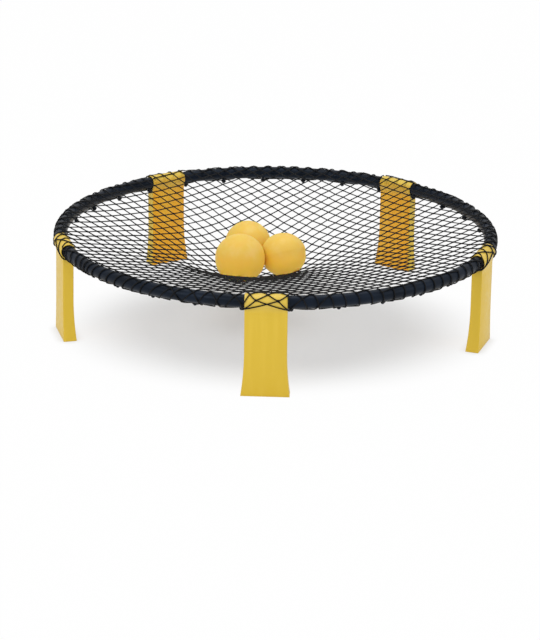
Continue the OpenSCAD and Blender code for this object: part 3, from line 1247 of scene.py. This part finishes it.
def knot_tree(material: Material) -> NodeTree:
    """Put a small tied knot of twine on every point, turned at random about its facing."""
    g, inp, out = open_tree("tied_knots", "Twine")
    points = 11
    base = g.add("GeometryNodeCurvePrimitiveCircle", {"Resolution": points, "Radius": MM})
    step = g.math("MULTIPLY", g.add("GeometryNodeInputIndex"), TAU / points)
    loop = g.add("ShaderNodeCombineXYZ", {
        axis: g.math("MULTIPLY", g.math(wave, g.math("MULTIPLY", step, turns)), reach_mm * MM)
        for axis, (wave, turns, reach_mm) in enumerate((
            ("COSINE", 1.0, 1.9), ("SINE", 2.0, 1.3), ("SINE", 3.0, 0.7)))})
    tied = g.add("GeometryNodeSetPosition", {"Geometry": base, "Position": loop})
    half = g.math("MULTIPLY", inp.outputs["Twine"], 0.5)
    ring = g.add("GeometryNodeCurvePrimitiveCircle", {"Resolution": 4, "Radius": half})
    swept = g.add("GeometryNodeCurveToMesh", {"Curve": tied, "Profile Curve": ring})
    facing = g.add("GeometryNodeInputNamedAttribute", {"Name": "facing"},
                   data_type="FLOAT_VECTOR")
    aligned = g.add("FunctionNodeAlignRotationToVector", {"Vector": facing}, axis="Z")
    spin = g.add("FunctionNodeRandomValue", {2: 0.0, 3: TAU, "Seed": 11}, data_type="FLOAT")
    about = g.add("FunctionNodeAxisAngleToRotation", {
        "Axis": (0.0, 0.0, 1.0), "Angle": spin.outputs[1]})
    turned = g.add("FunctionNodeRotateRotation", {"Rotation": aligned, "Rotate By": about},
                   rotation_space="LOCAL")
    grown = g.add("FunctionNodeRandomValue", {2: 0.9, 3: 1.15, "Seed": 23}, data_type="FLOAT")
    placed = g.add("GeometryNodeInstanceOnPoints", {
        "Points": g.add("GeometryNodeMeshToPoints", {0: inp}),
        "Instance": g.add("GeometryNodeSetShadeSmooth", {0: swept}),
        "Rotation": turned, "Scale": grown.outputs[1]})
    return close_tree(g, placed, material, out)


# ---- studio


@dataclass(frozen=True)
class Lamp:
    """One soft square lamp: its place, the point it faces, its side and its power."""

    name: str
    at: Triple
    aim: Triple
    size: float
    watts: float

    def hang(self) -> None:
        """Hang the lamp."""
        light = bpy.data.lights.new(self.name, "AREA")
        light.size = self.size
        light.energy = self.watts
        obj = bpy.data.objects.new(self.name, light)
        look = (Vector(self.at) - Vector(self.aim)).to_track_quat("Z", "Y")
        obj.matrix_world = Matrix.Translation(self.at) @ look.to_matrix().to_4x4()
        bpy.context.scene.collection.objects.link(obj)


@dataclass
class Studio:
    """Pale floor, soft light and the camera."""

    azimuth_pan: float = 0.0371
    elevation_tilt: float = 0.3480
    roll: float = 0.0147
    position: Triple = (0.14087, -4.03448, 1.45695)
    lens: float = 116.185
    sensor: float = 36.0
    sight: float = 100.0
    floor_half: float = 6.0
    floor_grey: float = 0.88
    # oval of shade under the set, partly painted: its middle, its squash, and the radii where it
    # is full and where it ends
    shade_middle: Pair = (0.002, -0.056)
    shade_squash: float = 1.205
    shade_core: float = 0.235
    shade_end: float = 0.474
    open_floor: float = 0.985
    # inside the oval, the share and level of the flat grey glow of painted shade; the rest is the
    # matt floor's real shadow
    even: float = 0.5
    painted_shade_level: float = 0.6
    contact_reach: float = 0.02
    contact_from: float = -0.3
    contact_full: float = -0.2
    sky: float = 0.77
    lamps: tuple[Lamp, ...] = (
        Lamp("overhead", (0.0, 0.2, 2.4), (0.0, 0.0, 0.0), 1.6, 14.0),
        Lamp("front_left", (-1.8, -2.4, 1.9), (0.0, 0.0, 0.1), 1.4, 21.0),
        Lamp("right", (2.4, -1.0, 1.5), (0.0, 0.0, 0.1), 1.4, 8.0),
    )

    def camera(self) -> None:
        """Make the camera."""
        a, e, r = self.azimuth_pan, self.elevation_tilt, self.roll
        back = Vector((math.sin(a) * math.cos(e), -math.cos(a) * math.cos(e), math.sin(e)))
        right = Vector((math.cos(a), math.sin(a), 0.0))
        up = back.cross(right)
        cam = bpy.data.cameras.new("camera")
        cam.lens = self.lens
        cam.sensor_width = self.sensor
        cam.clip_end = self.sight
        obj = bpy.data.objects.new("camera", cam)
        right_r = right * math.cos(r) + up * math.sin(r)
        up_r = up * math.cos(r) - right * math.sin(r)
        turn = Matrix((right_r, up_r, back)).transposed().to_4x4()
        obj.matrix_world = Matrix.Translation(self.position) @ turn
        bpy.context.scene.collection.objects.link(obj)
        bpy.context.scene.camera = obj

    def floor(self) -> None:
        """Make the floor: white to the camera away from the set, and under it an oval of shade
        that is half painted, a flat grey glow, and half the matt floor's real shadow.
        """
        h = self.floor_half
        corners = [(-h, -h, 0), (h, -h, 0), (h, h, 0), (-h, h, 0)]
        obj = mesh_object("floor", corners, [(0, 1, 2, 3)])
        mat = bpy.data.materials.new("pale_floor")
        mat.use_nodes = True
        g = Graph(mat.node_tree)
        matt = g.add("ShaderNodeBsdfDiffuse", {"Color": (*[self.floor_grey] * 3, 1.0)})
        glow = g.add("ShaderNodeEmission", {"Color": WHITE, "Strength": 1.0})
        # painted shade: a flat grey glow for the oval under the set
        painted_shade_glow = g.add("ShaderNodeEmission", {"Color": WHITE, "Strength": self.painted_shade_level})
        place = g.add("ShaderNodeTexCoord").outputs["Object"]
        offset = g.vector("SUBTRACT", place, (*self.shade_middle, 0.0))
        oval = g.vector("MULTIPLY", offset, (1.0, self.shade_squash, 1.0))
        away = g.scaled(g.vector("LENGTH", oval).outputs["Value"], self.shade_core,
                        self.shade_end, 0.0, self.open_floor, "SMOOTHSTEP")
        ray = g.add("ShaderNodeLightPath").outputs
        seen = g.math("MAXIMUM", ray["Is Camera Ray"], ray["Is Glossy Ray"])
        # the camera sees half painted shade and half the matt floor's real shadow here
        soft = g.add("ShaderNodeMixShader", {
            0: g.math("MULTIPLY", seen, self.even), 1: matt, 2: painted_shade_glow})
        lit = g.math("MULTIPLY", away, self.contact_shade(g, place))
        share = g.math("MULTIPLY", lit, seen)
        mixed = g.add("ShaderNodeMixShader", {0: share, 1: soft, 2: glow})
        g.add("ShaderNodeOutputMaterial", {"Surface": mixed})
        dress(obj, mat)

    def contact_shade(self, g: Graph, place: NodeSocket) -> Node:
        """Darken the floor close round whatever stands on it, behind the front foot.

        Args:
            g: The floor's graph.
            place: Object coordinates.

        Returns:
            One on the open floor, less beside a foot.
        """
        near = g.add("ShaderNodeAmbientOcclusion", {"Distance": self.contact_reach}, samples=16)
        hidden = g.math("SUBTRACT", 1.0, near.outputs["AO"])
        depth = g.add("ShaderNodeSeparateXYZ", {0: place}).outputs[1]
        level = g.scaled(depth, self.contact_from, self.contact_full)
        return g.math("SUBTRACT", 1.0, g.math("MULTIPLY", hidden, level))

    def world(self) -> None:
        """Light the set from all round, and show white behind it."""
        world = bpy.data.worlds.new("studio")
        bpy.context.scene.world = world
        world.use_nodes = True
        g = Graph(world.node_tree)
        ray = g.add("ShaderNodeLightPath").outputs
        seen = g.math("MAXIMUM", ray["Is Camera Ray"], ray["Is Transmission Ray"])
        strength = g.scaled(seen, 0.0, 1.0, self.sky, 1.0)
        back = g.add("ShaderNodeBackground", {"Color": WHITE, "Strength": strength})
        g.add("ShaderNodeOutputWorld", {"Surface": back})

    def build(self) -> None:
        """Make the whole studio."""
        self.camera()
        self.floor()
        self.world()
        for lamp in self.lamps:
            lamp.hang()
        bpy.context.scene.view_settings.view_transform = "Standard"


# ---- all of it


def main() -> None:
    """Build the set in order: studio, rim, legs, balls, net."""
    logging.basicConfig(level=logging.INFO, format="%(name)s: %(message)s")
    Studio().build()
    rim = Rim()
    rim.dress_tubes(TubePlastic().make())
    yellow = LegPlastic().make()
    leg = Leg(rim)
    leans = (-3.0, 2.0, 0.0, 0.0, 3.6)
    for number, (angle, lean) in enumerate(zip(rim.leg_angles(), leans), start=1):
        leg.build(number, angle, lean, yellow)
    balls = [
        Ball("front", Skin.FIRM, 150.0, -25.0, (0.783, 0.016, -0.622),
             (50.6, 48.5, 48.8, 47.2), neighbours=("rear", "right"), full=0.06),
        Ball("rear", Skin.FIRM, 100.0, 20.0, (-0.6, 0.2, 0.8),
             (47.8, 48.0, 48.8, 48.4), neighbours=("front", "right")),
        Ball("right", Skin.SOFT, 20.0, -30.0, (-0.25, 0.322, 0.913),
             (46.0, 45.0, 43.4, 45.2), 2.2, neighbours=("front", "rear")),
    ]
    rubber, soft_rubber = BallRubber().make(), ValveRubber().make()
    for ball in balls:
        ball.build(rubber, soft_rubber)
    Net(rim, balls).build(NetTwine().make())


if __name__ == "__main__":
    main()
